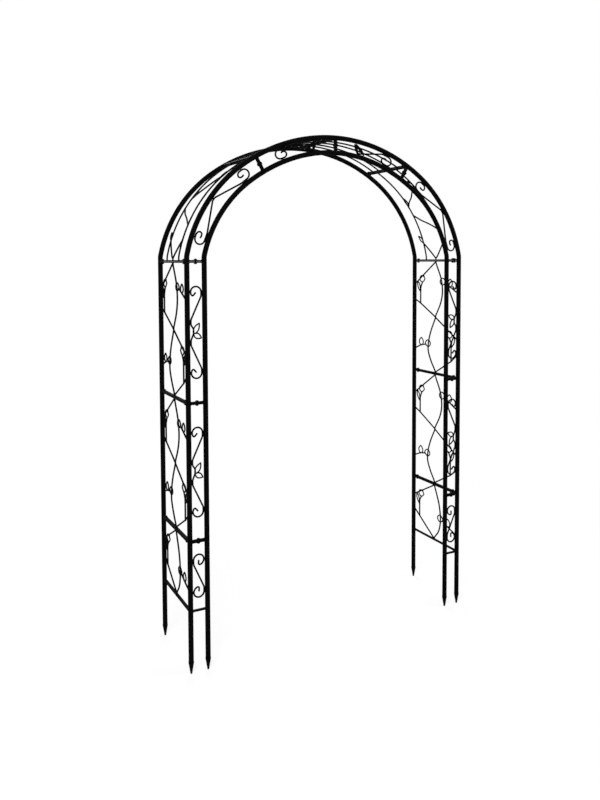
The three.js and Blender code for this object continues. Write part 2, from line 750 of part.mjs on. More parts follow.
for (const [hand, sign] of Object.entries(side)) {
  for (const [name, section] of Object.entries(sectionsOf(sign))) {
    const panel = section.low === planes.springing || section.low === planes.shoulder ? 'roof' : 'side';
    add(`${hand}_${name}_front_frame`, placed(frontFrame(section), sign), steel);
    add(`${hand}_${name}_scroll`, placed(scrollwork(name, section, sign > 0), sign), steel);
    add(`${hand}_${name}_${panel}_panel`, placed(vinePanel(name, section), sign), steel);
    if (!section.low) add(`${hand}_foot_back_tube`, placed(tube(columns.back, section), sign), steel);
  }
  for (const name of ['low', 'middle', 'springing', 'shoulder']) {
    for (const [spot, fastener] of Object.entries(jointBolts(planes[name]))) {
      add(`${hand}_${name}_${spot}_bolt`, placed(fastener, sign), fastenerSteel);
    }
  }
}
for (const [spot, fastener] of Object.entries(jointBolts(planes.crown))) {
  add(`crown_${spot}_bolt`, outward(fastener), fastenerSteel);
}

export default group;
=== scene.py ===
import math

import bpy
import numpy as np
from mathutils import Matrix, Vector, noise


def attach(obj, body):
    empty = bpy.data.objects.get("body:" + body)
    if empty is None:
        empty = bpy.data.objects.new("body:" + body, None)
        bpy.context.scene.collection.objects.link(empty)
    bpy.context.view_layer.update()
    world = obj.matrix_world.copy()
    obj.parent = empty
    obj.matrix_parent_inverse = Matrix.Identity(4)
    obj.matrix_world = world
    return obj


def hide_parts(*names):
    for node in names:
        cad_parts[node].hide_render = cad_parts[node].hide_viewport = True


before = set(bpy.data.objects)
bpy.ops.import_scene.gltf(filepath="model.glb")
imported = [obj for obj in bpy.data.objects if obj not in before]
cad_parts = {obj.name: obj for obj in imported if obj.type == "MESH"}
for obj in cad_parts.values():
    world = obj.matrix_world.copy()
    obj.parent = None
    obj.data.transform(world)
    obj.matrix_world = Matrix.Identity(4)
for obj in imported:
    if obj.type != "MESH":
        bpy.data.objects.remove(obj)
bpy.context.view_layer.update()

MILLIMETRE = 0.001

# Sizes in millimetres, the same as those of the part's source but for LEAF_R.
SPAN = 1400.0
DEPTH = 365.0
BAND = 73.5
CROWN_BAND = 66.0
RAIL_Z = 265.0
LOW_Z = 560.0
MID_Z = 1140.0
SPRING_Z = 1725.0
RISE = 548.0
SHOULDER_S = 562.0
SOCKET = 20.0
KINK = math.radians(11.0)
END = math.radians(54.0)
TUBE_R = 11.0
WIRE_R = 3.75
LEAF_R = 3.1
STRIP_W = 14.0
STRIP_T = 6.0
GAP = 0.3
ARCH_SLACK = 0.5
TOUCH = TUBE_R + GAP + WIRE_R
BUTT = TUBE_R + GAP
STRIP_FACE = GAP / 2 + STRIP_T
BOLT_INSET = 34.0
SHANK_R = 3.0
HEAD_R = 7.5
HEAD_HEIGHT = 5.5
TIP_R = 4.0
COLLAR_R = 11.9
TAPER = 46.0
COLLAR = 6.0
LEAF_LENGTH = 44.0
LEAF_WIDTH = 35.0
SLIM_WIDTH = 18.0
LEG_LEAF_WIDTH = 21.0
CROWN_LEAF_WIDTH = 8.0

# Small trim, in millimetres.
RIM = 0.6
SPIGOT_R = TUBE_R - 1.5
SPIGOT_STUB = 3.0
BEND_REACH = 7.0
STRIP_EDGE = 0.9
STRIP_BITE = 0.8
SIDE_STRIP_BITE = 0.1
VINE_BITE = 0.6
VINE_OVERRUN = 3.4
HEAD_EDGE = 0.9
HEAD_ROUNDING = 0.25
NUT_HEIGHT = 4.2
NUT_RINGS = ((6.6, 0.0), (7.1, 0.5), (7.1, 3.7), (6.5, NUT_HEIGHT))
THREAD_R = 2.9
THREAD_ROOT_R = 2.6
THREAD_STEP = 0.16
THREAD_START = 3.9

# Weld beads: radii, spread to either side in radians, and shares of the radius.
# Weld blobs: half sizes in x, y and z, and how far they are shifted off a wire.
BEAD_R = 1.5
FAR_BEAD_R = 1.3
BEAD_SPREAD = 0.62
BEAD_STAND = 0.35
BEAD_WOBBLE = 0.22
BEAD_END = 0.72
BLOB_WOBBLE = 0.12
LEG_WELD = (2.8, 3.2, 6.2)
LEG_WELD_SHIFT = 2.9
LEAF_ROOT_WELD = (4.4, 4.1, 4.9)
BAND_WELD = (3.8, 3.0, 3.8)
BAND_WELD_SHIFT = 2.7
VINE_WELD = (4.1, 4.5, 4.5)
HALVES_WELD = (4.2, 5.1, 7.0)
STRIP_WELD = (5.1, 6.5, 5.1)
TUBE_WELD = (4.4, 3.0, 4.6)
ROOF_WELD = (4.3, 4.5, 4.3)

# Fineness of the meshes: distances along paths in millimetres, counts of points and sides, and
# the angle from which an edge is sharp.
TUBE_STEP = 6.0
ROD_STEP = 6.0
PATH_STEP = 3.0
WIRE_STEP = 2.6
HOOK_STEP = 1.6
BAR_POINTS = 9
BEAD_STEPS = 10
FILLET_POINTS = 9
CURVE_POINTS = 12
LEAF_STEPS = 24
ROD_POINTS = 60
TAPER_POINTS = 12
HEAD_POINTS = 9
THREAD_RINGS = 7
TUBE_SIDES = 28
WIRE_SIDES = 12
LEAF_SIDES = 10
BEAD_SIDES = 8
HEAD_SIDES = 24
SHANK_SIDES = 16
NUT_SIDES = 6
BLOB_SIDES = 12
BLOB_RINGS = 8
SHARP_ANGLE = math.radians(42)

# A bar's domed end: shares of the dome's height, and of the bar's radius there.
DOME = ((1.0, 0.45), (0.75, 0.8), (0.35, 0.97))
DOME_HEIGHT = 0.5


# The arch: a haunch arc and a crown arc, which meet at the angle END

def arch_radii():
    a = math.cos(KINK) - math.cos(END)
    b = math.cos(END)
    c = math.sin(END) - math.sin(KINK)
    d = 1 - math.sin(END)
    det = a * d - b * c
    half, rise = SPAN / 2, RISE - SOCKET
    return (half * d - rise * b) / det, (rise * a - half * c) / det


R1, R2 = arch_radii()
C1 = (R1 * math.cos(KINK) - SPAN / 2, SPRING_Z + SOCKET - R1 * math.sin(KINK))
C2 = (C1[0] - (R1 - R2) * math.cos(END), C1[1] + (R1 - R2) * math.sin(END))


def arch_point(angle, inset, y):
    centre, radius = (C1, R1) if angle <= END else (C2, R2)
    radius -= inset
    return np.array([centre[0] - radius * math.cos(angle), y, centre[1] + radius * math.sin(angle)])


INNER_KINK = math.asin(R1 * math.sin(KINK) / (R1 - BAND))
INNER_X = arch_point(INNER_KINK, BAND, 0.0)[0]
LEG_GAP = INNER_X + SPAN / 2

# Where a wire touches the outer and the inner tube, between the legs and between the arches.
LEG_SIDES = (TOUCH, LEG_GAP - TOUCH)
BAND_SIDES = (TOUCH + ARCH_SLACK, BAND - TOUCH)


def band_at(angle):
    """The distance of the front arches' centre lines at an angle from the upright."""
    raised = min(max((angle - END) / (math.pi / 2 - END), 0.0), 1.0)
    return BAND + (CROWN_BAND - BAND) * raised * raised * (3 - 2 * raised)


# A column: inset from the outer arch, x and y of its leg, lean above its socket.
BACK = (0.0, -SPAN / 2, DEPTH / 2, KINK)
OUTER = (0.0, -SPAN / 2, -DEPTH / 2, KINK)
INNER = (BAND, INNER_X, -DEPTH / 2, INNER_KINK)


def angle_at(column, s):
    inset, _, _, kink = column
    haunch = (R1 - inset) * (END - kink)
    beyond = s - SOCKET - haunch
    return kink + (s - SOCKET) / (R1 - inset) if beyond <= 0 else END + beyond / (R2 - inset)


def length_at(column, angle):
    inset, _, _, kink = column
    return SOCKET + (R1 - inset) * (min(angle, END) - kink) + (R2 - inset) * max(angle - END, 0.0)


def frame_at(column, s):
    """Point, direction and inward direction at a length along a column, counted from the springing."""
    _, x, y, _ = column
    if s <= SOCKET:
        return np.array([x, y, SPRING_Z + s]), np.array([0.0, 0, 1]), np.array([1.0, 0, 0])
    angle = angle_at(column, s)
    along = np.array([math.sin(angle), 0, math.cos(angle)])
    inward = np.array([math.cos(angle), 0, -math.sin(angle)])
    return arch_point(angle, band_at(angle) if column is INNER else 0.0, y), along, inward


# Joint planes and sections

LOW, MIDDLE, SPRINGING = ("height", LOW_Z), ("height", MID_Z), ("height", SPRING_Z)
SHOULDER, CROWN = ("angle", angle_at(OUTER, SHOULDER_S)), ("angle", math.pi / 2)
RAIL = ("height", RAIL_Z)
JOINTS = {"low": LOW, "middle": MIDDLE, "springing": SPRINGING, "shoulder": SHOULDER}
SECTIONS = {
    "foot": (None, LOW),
    "lower": (LOW, MIDDLE),
    "upper": (MIDDLE, SPRINGING),
    "haunch": (SPRINGING, SHOULDER),
    "crown": (SHOULDER, CROWN),
}


def plane_length(plane, column):
    kind, value = plane
    return value - SPRING_Z if kind == "height" else length_at(column, value)


def gap_at(plane):
    """The distance of the front columns' centre lines at a plane."""
    kind, value = plane
    return band_at(value) if kind == "angle" else LEG_GAP


def between(section, bite):
    """The lengths at a section's strips, between which wires run, and a bite into the strips."""
    low, high = section
    start = RAIL_Z - SPRING_Z + STRIP_T / 2 if low is None else plane_length(low, OUTER) + STRIP_FACE
    return start - bite, plane_length(high, OUTER) - STRIP_FACE + bite


# Sheets: from two drawing coordinates to a point

def on_leg(x, y):
    return np.array([-SPAN / 2 + x, -DEPTH / 2, y])


def on_band(x, s):
    angle = angle_at(OUTER, s)
    share = (x - TOUCH) / (BAND - 2 * TOUCH)
    return arch_point(angle, TOUCH + share * (band_at(angle) - 2 * TOUCH), -DEPTH / 2)


def on_side(u, z):
    return np.array([-SPAN / 2, DEPTH / 2 - u, z])


def on_roof(u, s):
    point = frame_at(BACK, s)[0]
    return np.array([point[0], DEPTH / 2 - u, point[2]])


# Mesh building

def ring(centre, first, second, radius, sides):
    """Points round a centre, from the first direction towards the second."""
    angles = np.arange(sides) * 2 * math.pi / sides
    return [centre + (first * math.cos(a) + second * math.sin(a)) * radius for a in angles]


def domed(path, radii):
    """A path and its radii with slightly domed ends."""
    def end(tip, before, radius):
        out = (tip - before) / np.linalg.norm(tip - before)
        points = [tip + out * radius * (height - 1) * DOME_HEIGHT for height, _ in DOME]
        return points, [radius * share for _, share in DOME]

    lead, lead_radii = end(path[0], path[1], radii[0])
    tail, tail_radii = end(path[-1], path[-2], radii[-1])
    path = np.vstack([lead, path[1:-1], tail[::-1]])
    return path, np.concatenate([lead_radii, radii[1:-1], tail_radii[::-1]])


def carried_normals(tangents, closed):
    """Normals carried along a path without twist; on a closed path the last one meets the first."""
    normals = np.zeros_like(tangents)
    seed = np.eye(3)[np.argmin(np.abs(tangents[0]))]
    n = np.cross(tangents[0], seed)
    normals[0] = n / np.linalg.norm(n)
    for i in range(1, len(tangents)):
        n = normals[i - 1] - tangents[i] * np.dot(normals[i - 1], tangents[i])
        normals[i] = n / np.linalg.norm(n)
    if closed:
        first, last = normals[0], normals[-1]
        turn = math.atan2(np.dot(np.cross(last, first), tangents[0]), np.dot(last, first))
        for i in range(len(tangents)):
            own_turn = turn * i / len(tangents)
            b = np.cross(tangents[i], normals[i])
            normals[i] = normals[i] * math.cos(own_turn) + b * math.sin(own_turn)
    return normals


class Builder:
    """Collects faces for one piece, in millimetres on the left side: slot 0 is coat, slot 1 weld metal."""

    def __init__(self):
        self.points = []
        self.faces = []
        self.slots = []
        self.size = 0

    def grid(self, rings, wrap=False, slot=0):
        """Faces between rings, closed by the first ring where it wraps, else by caps."""
        rings = np.asarray(rings)
        count, sides = rings.shape[:2]
        base = self.size
        self.points.append(rings.reshape(-1, 3))
        self.size += count * sides
        last = count if wrap else count - 1
        for i in range(last):
            a, b = base + i * sides, base + (i + 1) % count * sides
            for k in range(sides):
                m = (k + 1) % sides
                self.faces.append((a + k, a + m, b + m, b + k))
                self.slots.append(slot)
        if not wrap:
            self.faces.append(tuple(base + k for k in reversed(range(sides))))
            self.faces.append(tuple(base + (count - 1) * sides + k for k in range(sides)))
            self.slots += [slot, slot]

    def sweep(self, path, radius, sides=WIRE_SIDES, closed=False, slot=0):
        """A round bar along a path, with slightly domed ends unless it is closed."""
        path = np.asarray(path, float)
        radii = np.full(len(path), radius) if np.isscalar(radius) else np.asarray(radius, float)
        if closed:
            tangents = np.roll(path, -1, 0) - np.roll(path, 1, 0)
        else:
            path, radii = domed(path, radii)
            tangents = np.gradient(path, axis=0)
        tangents /= np.linalg.norm(tangents, axis=1)[:, None]
        normals = carried_normals(tangents, closed)
        rings = [ring(p, n, np.cross(t, n), r, sides) for p, t, n, r in zip(path, tangents, normals, radii)]
        self.grid(rings, closed, slot)

    def turned(self, profile, point, along, side, sides):
        """A profile of radii and heights turned about a line."""
        across = np.cross(along, side)
        self.grid([ring(point + along * h, side, across, r, sides) for r, h in profile])

    def tube(self, column, start, end):
        """A tube along a column with softened rims and the start of its spigot."""
        stops = [start, start + RIM * 0.4, start + RIM]
        count = max(2, int((end - start) / TUBE_STEP))
        stops += list(np.linspace(start + RIM, end - RIM, count)[1:-1])
        stops += [end - RIM, end - RIM * 0.4, end]
        rim_radii = [TUBE_R - RIM, TUBE_R - RIM * 0.3]
        radii = rim_radii + [TUBE_R] * (len(stops) - 4) + rim_radii[::-1]
        stops += [end + GAP, end + GAP + SPIGOT_STUB]
        radii += [SPIGOT_R, SPIGOT_R]
        rings = []
        for s, r in zip(stops, radii):
            p, along, inward = frame_at(column, s)
            if abs(s - SOCKET) < BEND_REACH and s > 0:
                bend = [SOCKET - BEND_REACH, SOCKET + BEND_REACH]
                lean = np.interp(s, bend, [0.0, angle_at(column, bend[1])])
                inward = np.array([math.cos(lean), 0, -math.sin(lean)])
                along = np.array([math.sin(lean), 0, math.cos(lean)])
            rings.append(ring(p, inward, np.cross(along, inward), r, TUBE_SIDES))
        self.grid(rings)

    def bar(self, start, end, thick_dir):
        """A flat strip with rounded long edges."""
        along = end - start
        along = along / np.linalg.norm(along)
        wide = np.cross(along, thick_dir)
        half_width, half_thickness = STRIP_W / 2 - STRIP_EDGE, STRIP_T / 2 - STRIP_EDGE
        outline = []
        for sx, sy, a0 in ((1, 1, 0), (-1, 1, 90), (-1, -1, 180), (1, -1, 270)):
            for a in (0, 30, 60, 90):
                t = math.radians(a0 + a)
                x = sx * half_width + STRIP_EDGE * math.cos(t)
                outline.append((x, sy * half_thickness + STRIP_EDGE * math.sin(t)))
        self.grid([
            [start + (end - start) * k + wide * x + thick_dir * y for x, y in outline]
            for k in np.linspace(0, 1, BAR_POINTS)
        ])

    def bead(self, centre, toward, normal, seed, thick):
        """A weld bead round part of a tube: toward points at the piece that is welded on."""
        across = np.cross(normal, toward)
        path, radii = [], []
        for i in range(BEAD_STEPS + 1):
            a = BEAD_SPREAD * (2 * i / BEAD_STEPS - 1)
            wobble = noise.noise(Vector((seed * 3.1 + i * 0.9, seed * 1.7, i * 0.37)))
            reach = TUBE_R + thick * BEAD_STAND
            path.append(centre + (toward * math.cos(a) + across * math.sin(a)) * reach)
            radii.append(thick * (1 + BEAD_WOBBLE * wobble) * (BEAD_END if i in (0, BEAD_STEPS) else 1.0))
        self.sweep(path, radii, BEAD_SIDES, slot=1)

    def blob(self, centre, size, seed):
        """A small lump of weld metal."""
        size = np.asarray(size, float)
        rings = []
        for i in range(1, BLOB_RINGS):
            polar = math.pi * i / BLOB_RINGS
            lump = []
            for k in range(BLOB_SIDES):
                a = 2 * math.pi * k / BLOB_SIDES
                d = np.array([math.sin(polar) * math.cos(a), math.sin(polar) * math.sin(a), math.cos(polar)])
                wobble = noise.noise(Vector(d * 2.3) + Vector((seed * 5.3, seed, 0)))
                lump.append(centre + d * size * (1 + BLOB_WOBBLE * wobble))
            rings.append(lump)
        self.grid(rings, slot=1)


def to_object(builder, name, sign, node, slot_name, materials):
    """A mesh object from the collected faces, mirrored for the right side, standing for its CAD node."""
    points = np.vstack(builder.points) * MILLIMETRE
    faces = builder.faces
    if sign > 0:
        points = points * np.array([-1, 1, 1])
        faces = [tuple(reversed(f)) for f in faces]
    mesh = bpy.data.meshes.new(name)
    mesh.from_pydata(points.tolist(), [], faces)
    for material in materials:
        mesh.materials.append(material)
    mesh.polygons.foreach_set("material_index", builder.slots)
    mesh.validate()
    mesh.update()
    mesh.polygons.foreach_set("use_smooth", [True] * len(mesh.polygons))
    mesh.set_sharp_from_angle(angle=SHARP_ANGLE)
    piece = bpy.data.objects.new(name, mesh)
    bpy.context.scene.collection.objects.link(piece)
    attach(piece, "root")
    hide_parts(node)
    return piece


# Paths of bent wire, drawn in two coordinates

# A fillet: its largest share of a segment, and the turn and reach below which a corner stays sharp.
FILLET_LIMIT = 0.49
LEAST_TURN = 1e-3
LEAST_REACH = 0.2
SAME_POINT = 1e-6


def evenly(points, step):
    """A path sampled again at even distances."""
    points = np.array(points)
    lengths = np.concatenate([[0], np.cumsum(np.linalg.norm(np.diff(points, axis=0), axis=1))])
    keep = np.concatenate([[True], np.diff(lengths) > SAME_POINT])
    points, lengths = points[keep], lengths[keep]
    count = max(3, int(lengths[-1] / step) + 1)
    s = np.linspace(0, lengths[-1], count)
    return np.column_stack([np.interp(s, lengths, points[:, k]) for k in range(points.shape[1])])


def filleted(points, radii):
    """A polyline whose corners are rounded, sampled evenly."""
    points = [np.array(p, float) for p in points]
    if np.isscalar(radii):
        radii = [radii] * len(points)
    out = [points[0]]
    for i in range(1, len(points) - 1):
        p0, p, p1 = points[i - 1], points[i], points[i + 1]
        a, b = p0 - p, p1 - p
        la, lb = np.linalg.norm(a), np.linalg.norm(b)
        a, b = a / la, b / lb
        turn = math.pi - math.acos(max(-1, min(1, float(np.dot(a, b)))))
        reach = min(radii[i] * math.tan(turn / 2), la * FILLET_LIMIT, lb * FILLET_LIMIT)
        if turn < LEAST_TURN or reach < LEAST_REACH:
            out.append(p)
            continue
        start, stop = p + a * reach, p + b * reach
        for t in np.linspace(0, 1, FILLET_POINTS):
            out.append((1 - t) ** 2 * start + 2 * t * (1 - t) * p + t ** 2 * stop)
    out.append(points[-1])
    return evenly(out, PATH_STEP)


def blend(u, start, stop, first, second):
    return (stop - u) / (stop - start) * first + (u - start) / (stop - start) * second


def smooth(points, step=PATH_STEP):
    """A curve through points without corners (centripetal Catmull-Rom)."""
    p = [np.array(q, float) for q in points]
    p = [2 * p[0] - p[1]] + p + [2 * p[-1] - p[-2]]
    out = []
    for i in range(1, len(p) - 2):
        t = [0.0]
        for k in (i - 1, i, i + 1):
            t.append(t[-1] + max(np.linalg.norm(p[k + 1] - p[k]), SAME_POINT) ** 0.5)
        for u in np.linspace(t[1], t[2], CURVE_POINTS, endpoint=False):
            a1 = blend(u, t[0], t[1], p[i - 1], p[i])
            a2 = blend(u, t[1], t[2], p[i], p[i + 1])
            a3 = blend(u, t[2], t[3], p[i + 1], p[i + 2])
            out.append(blend(u, t[1], t[2], blend(u, t[0], t[2], a1, a2), blend(u, t[1], t[3], a2, a3)))
    out.append(p[-2])
    return evenly(out, step)


# A scroll's end by its kind: how much longer than wide its oval is, and the hook inside it as
# shares of a turn and of the radius. The oval is drawn in steps of a turn up to the hook.
OVAL_STEP = 0.025
OVAL_POINTS = 22
CROOK_STRETCH = {"leg": 1.0, "foot": 1.0, "haunch": 1.1, "crown": 1.2}
HOOKS = {
    "leg": [(0.58, 1.0), (0.61, 0.99), (0.63, 0.93), (0.643, 0.78), (0.65, 0.55), (0.656, 0.3),
            (0.666, 0.06)],
    "foot": [(0.6, 1), (0.66, 1), (0.7, 0.99), (0.735, 0.93), (0.755, 0.8), (0.76, 0.6), (0.757, 0.35),
             (0.75, 0.06)],
    "haunch": [(0.56, 1.08), (0.615, 1.25), (0.67, 1.34), (0.72, 1.26), (0.755, 1), (0.775, 0.6),
               (0.77, 0.35), (0.72, 0.15)],
    "crown": [(0.59, 1.16), (0.64, 1.24), (0.69, 1.25), (0.75, 1.1), (0.8, 0.85), (0.845, 0.5), (0.86, 0.2)],
}


def crook(centre, radius, start_turn, direction, kind):
    """The end of a scroll: half an oval, then a hook into its centre."""
    def at(share, reach):
        a = 2 * math.pi * (start_turn + direction * share)
        x = centre[0] + radius * reach * math.cos(a)
        return x, centre[1] + radius * reach * CROOK_STRETCH[kind] * math.sin(a)

    points = [at(k * OVAL_STEP, 1.0) for k in range(OVAL_POINTS)]
    hook = points[-2:] + [at(share, reach) for share, reach in HOOKS[kind]]
    return points[:-2] + [tuple(q) for q in smooth(hook, HOOK_STEP)]


# A leaf: where along it is widest, and the powers that shape its base and its tip.
ROUND_LEAF = (0.46, 0.52, 0.85)
SLIM_LEAF = (0.45, 0.85, 1.0)


def leaf_path(base, tip, width, is_round):
    """A closed leaf outline: slim and pointed at both ends, or round with one point."""
    axis = tip - base
    across = np.array([-axis[1], axis[0]]) / np.linalg.norm(axis)
    widest, base_power, tip_power = ROUND_LEAF if is_round else SLIM_LEAF
    half = []
    for i in range(LEAF_STEPS + 1):
        t = 0.5 - 0.5 * math.cos(math.pi * i / LEAF_STEPS)
        if t < widest:
            bulge = math.sin(math.pi * (0.5 * t / widest)) ** base_power
        else:
            bulge = math.sin(math.pi * (0.5 + 0.5 * (t - widest) / (1 - widest))) ** tip_power
        half.append((t, bulge))
    points = [base + axis * t + across * width / 2 * b for t, b in half]
    points += [base + axis * t - across * width / 2 * b for t, b in reversed(half[1:-1])]
    return points


def wire(builder, sheet, path):
    builder.sweep([sheet(x, y) for x, y in path], WIRE_R)


def leaf(builder, sheet, base, tip, width, is_round=False, radius=LEAF_R):
    base, tip = np.array(base, float), np.array(tip, float)
    path = evenly(leaf_path(base, tip, width, is_round) + [base], WIRE_STEP)[:-1]
    builder.sweep([sheet(x, y) for x, y in path], radius, LEAF_SIDES, closed=True)


def welds(builder, sheet, places, size, first_seed=0):
    for n, (x, y) in enumerate(places):
        builder.blob(sheet(x, y), size, n + first_seed)


# Front scrollwork

def leg_scroll(builder, low, high, flipped):
    """A wire with a crook at either end, and two leaves at its middle."""
    height, middle = high - low, (low + high) / 2
    sign = -1 if flipped else 1
    outer, inner = LEG_SIDES
    radius, centre = (inner - outer) / 2, (outer + inner) / 2
    apex = outer + LEG_GAP * 0.15
    crook_share = 0.292

    def at(x, share):
        return np.array([x, middle + sign * share * height])

    def arm(end):
        corners = [at(apex, 0.01), at(apex, 0.026 if end > 0 else -0.006), at(outer, end * 0.056),
                   at(outer, end * 0.092), at(inner, end * 0.262), at(inner, end * crook_share)]
        run = filleted(corners, [0, 9, 14, 26, 26, 0])
        return list(run[:-1]) + crook(at(centre, end * crook_share), radius, 0, sign * end, "leg")

    wire(builder, on_leg, evenly(arm(1)[::-1] + arm(-1)[1:], WIRE_STEP))
    base = at(apex, -0.01)
    leaf(builder, on_leg, base, at(LEG_GAP * 0.68, 0.067), LEG_LEAF_WIDTH)
    leaf(builder, on_leg, base, at(inner, -0.041), LEG_LEAF_WIDTH)
    outside, inside = outer - LEG_WELD_SHIFT, inner + LEG_WELD_SHIFT
    places = [at(x, end * share) for x, share in ((outside, 0.074), (inside, 0.275), (outside, 0.295))
              for end in (1, -1)]
    welds(builder, on_leg, places, LEG_WELD, middle)
    welds(builder, on_leg, [base], LEAF_ROOT_WELD, middle)


def foot_scroll(builder, low, high):
    """A wire with a crook at either end, the same after half a turn."""
    height, middle = high - low, (low + high) / 2
    outer, inner = LEG_SIDES
    crook_share, bend_share = 0.24, 0.175

    def at(x, share):
        return x, middle + share * height

    upper = crook(at(LEG_GAP / 2, crook_share), (inner - outer) / 2, 0.5, -1, "foot")
    lower = [(LEG_GAP - x, 2 * middle - y) for x, y in upper]
    corners = [at(outer, crook_share), at(outer, bend_share), at(inner, -bend_share), at(inner, -crook_share)]
    run = filleted(corners, [0, 26, 26, 0])
    wire(builder, on_leg, evenly(upper[::-1] + list(run[1:-1]) + lower, WIRE_STEP))
    outside, inside = outer - LEG_WELD_SHIFT, inner + LEG_WELD_SHIFT
    places = [at(outside, 0.21), at(inside, -0.21), at(inside, 0.24), at(outside, -0.24)]
    welds(builder, on_leg, places, LEG_WELD)


def haunch_scroll(builder, low, high, flipped):
    """A wire with a crook at either end, which sits lower on the right hand."""
    outer, inner = BAND_SIDES
    radius, centre = (inner - outer) / 2, (outer + inner) / 2
    length = high - low
    middle = low + length * (0.47 if flipped else 0.516)
    vertex_share, tangent_share, crook_share = 0.016, 0.265, 0.332

    def arm(end):
        crook_s = middle + end * crook_share * length
        run = filleted([on_band(outer, middle), on_band(outer, middle + end * vertex_share * length),
                        on_band(inner, middle + end * tangent_share * length), on_band(inner, crook_s)],
                       [0, 14, 30, 0])
        circle = crook((centre, crook_s), radius, 0, end, "haunch")
        return list(run[:-1]) + [on_band(x, s) for x, s in circle]

    builder.sweep(evenly(arm(1)[::-1] + arm(-1)[1:], WIRE_STEP), WIRE_R)
    outside, inside = outer - BAND_WELD_SHIFT, inner + BAND_WELD_SHIFT
    touches = [(outside, 0), (inside, 0.3), (inside, -0.3), (outside, 0.33), (outside, -0.33)]
    welds(builder, on_band, [(x, middle + share * length) for x, share in touches], BAND_WELD)


def crown_scroll(builder, low, high):
    """A wire from the inner arch near the crown down to a crook near the shoulder, and two slim leaves."""
    outer, inner = BAND_SIDES
    radius, centre = (inner - outer) / 2, (outer + inner) / 2
    length = high - low
    crook_share = 0.274

    def at(x, share):
        return np.array([x, low + share * length])

    corners = [at(inner, 0.715), at(inner, 0.665), at(outer, 0.363), at(outer, crook_share)]
    run = filleted([on_band(x, s) for x, s in corners], [0, 22, 30, 0])
    circle = crook(at(centre, crook_share), radius, 0.5, 1, "crown")
    builder.sweep(evenly(list(run[:-1]) + [on_band(x, s) for x, s in circle], WIRE_STEP), WIRE_R)
    for base, tip in ((0.611, 0.733), (0.706, 0.753)):
        leaf(builder, on_band, at(inner, base), at(outer, tip), CROWN_LEAF_WIDTH, radius=WIRE_R)
    outside, inside = outer - BAND_WELD_SHIFT, inner + BAND_WELD_SHIFT
    places = [at(inner, 0.615), at(inside, 0.706), at(outer, 0.733), at(outer, 0.753), at(outside, 0.32),
              at(inside, crook_share)]
    welds(builder, on_band, places, BAND_WELD)


# Vines. A half bay's single shares are of its height, its pairs of the depth and of its height.

UPPER_HALF = {
    "near": 0.4, "elbow": 0.765, "branch": 0.7, "link": 0.54,
    "far_leaf": (0.66, 0.355), "outer_leaf": (0.82, 0.375),
    "bow": [(0.615, 0.285), (0.645, 0.42), (0.65, 0.58), (0.61, 0.75)],
}
LOWER_HALF = {
    "near": 0.35, "elbow": 0.75, "branch": 0.63, "link": 0.61,
    "far_leaf": (0.675, 0.49), "outer_leaf": (0.83, 0.47),
    "bow": [(0.6, 0.25), (0.655, 0.45), (0.665, 0.62), (0.6, 0.8)],
}
FOOT_HALF = {
    "near": 0.32, "elbow": 0.7, "branch": 0.6, "link": 0.73,
    "far_leaf": (0.635, 0.575), "outer_leaf": (0.8, 0.59),
    "bow": [(0.6, 0.3), (0.63, 0.46), (0.64, 0.62), (0.6, 0.82)],
}
# Shares of the depth: the haunch's two rods, and the crown's rods at the shoulder and at the crown.
HAUNCH_RODS = (0.28, 0.72)
CROWN_RODS = ((0.21, 0.28), (0.36, 0.43), (0.64, 0.57), (0.79, 0.72))


def half_vine(builder, place, height, shares, open_top, open_bottom):
    """Half a bay of vine: x from the near tube, y down from the top, both in millimetres."""
    def v(x, y):
        return np.array([x * DEPTH, y * height])

    crossing, upright = 0.5, 0.15
    near, branch, link = shares["near"], shares["branch"], shares["link"]
    elbow = v(upright, shares["elbow"])
    top, bottom = v(crossing, 0), v(crossing, 1)
    half_leaf = np.array([LEAF_LENGTH / 2, 0])
    near_leaf = v(0.19, near * 0.66 + 0.05)
    far_leaf, outer_leaf = v(*shares["far_leaf"]), v(*shares["outer_leaf"])
    leaf_foot = near_leaf + [0, LEAF_WIDTH / 2]
    upright_half = np.array([0, LEAF_LENGTH * 0.45])
    outer_base, outer_tip = outer_leaf + upright_half, outer_leaf - upright_half
    near_point, branch_point = np.array([BUTT, near * height]), np.array([BUTT, branch * height])
    link_start = far_leaf + [LEAF_LENGTH * 0.42, LEAF_WIDTH * 0.2]
    link_end = np.array([DEPTH - BUTT, link * height])

    wire(builder, place, smooth([
        top - [0, 0 if open_top else VINE_OVERRUN], top + [1.2, 5], *[v(x, y) for x, y in shares["bow"]],
        bottom + [1.2, -6], bottom + [0, 0 if open_bottom else VINE_OVERRUN],
    ]))
    wire(builder, place, evenly([top + [-0.5, 1.0], near_point], ROD_STEP))
    wire(builder, place, filleted([bottom - [0.5, 1.0], elbow, branch_point], 16))
    wire(builder, place, filleted([leaf_foot, v(upright, near + 0.08), elbow], 30))
    leaf(builder, place, near_leaf - half_leaf, near_leaf + half_leaf, LEAF_WIDTH, is_round=True)
    leaf(builder, place, v(0.08, near * 0.9), v(upright - 0.01, near + 0.15), SLIM_WIDTH)
    leaf(builder, place, far_leaf - half_leaf, far_leaf + half_leaf, LEAF_WIDTH, is_round=True)
    wire(builder, place, smooth([link_start, outer_base, link_end]))
    leaf(builder, place, outer_base, outer_tip, LEAF_WIDTH, is_round=True)

    joins = [near_leaf + [12, -14.5], leaf_foot, elbow + [1, 1], link_start, outer_base, v(0.085, near * 0.9),
             v(upright - 0.004, near + 0.14)]
    welds(builder, place, joins, VINE_WELD)
    for n, (point, is_open) in enumerate(((top, open_top), (bottom, open_bottom))):
        welds(builder, place, [point], HALVES_WELD if is_open else STRIP_WELD, n + 3)
    welds(builder, place, [near_point, branch_point, link_end], TUBE_WELD, 7)


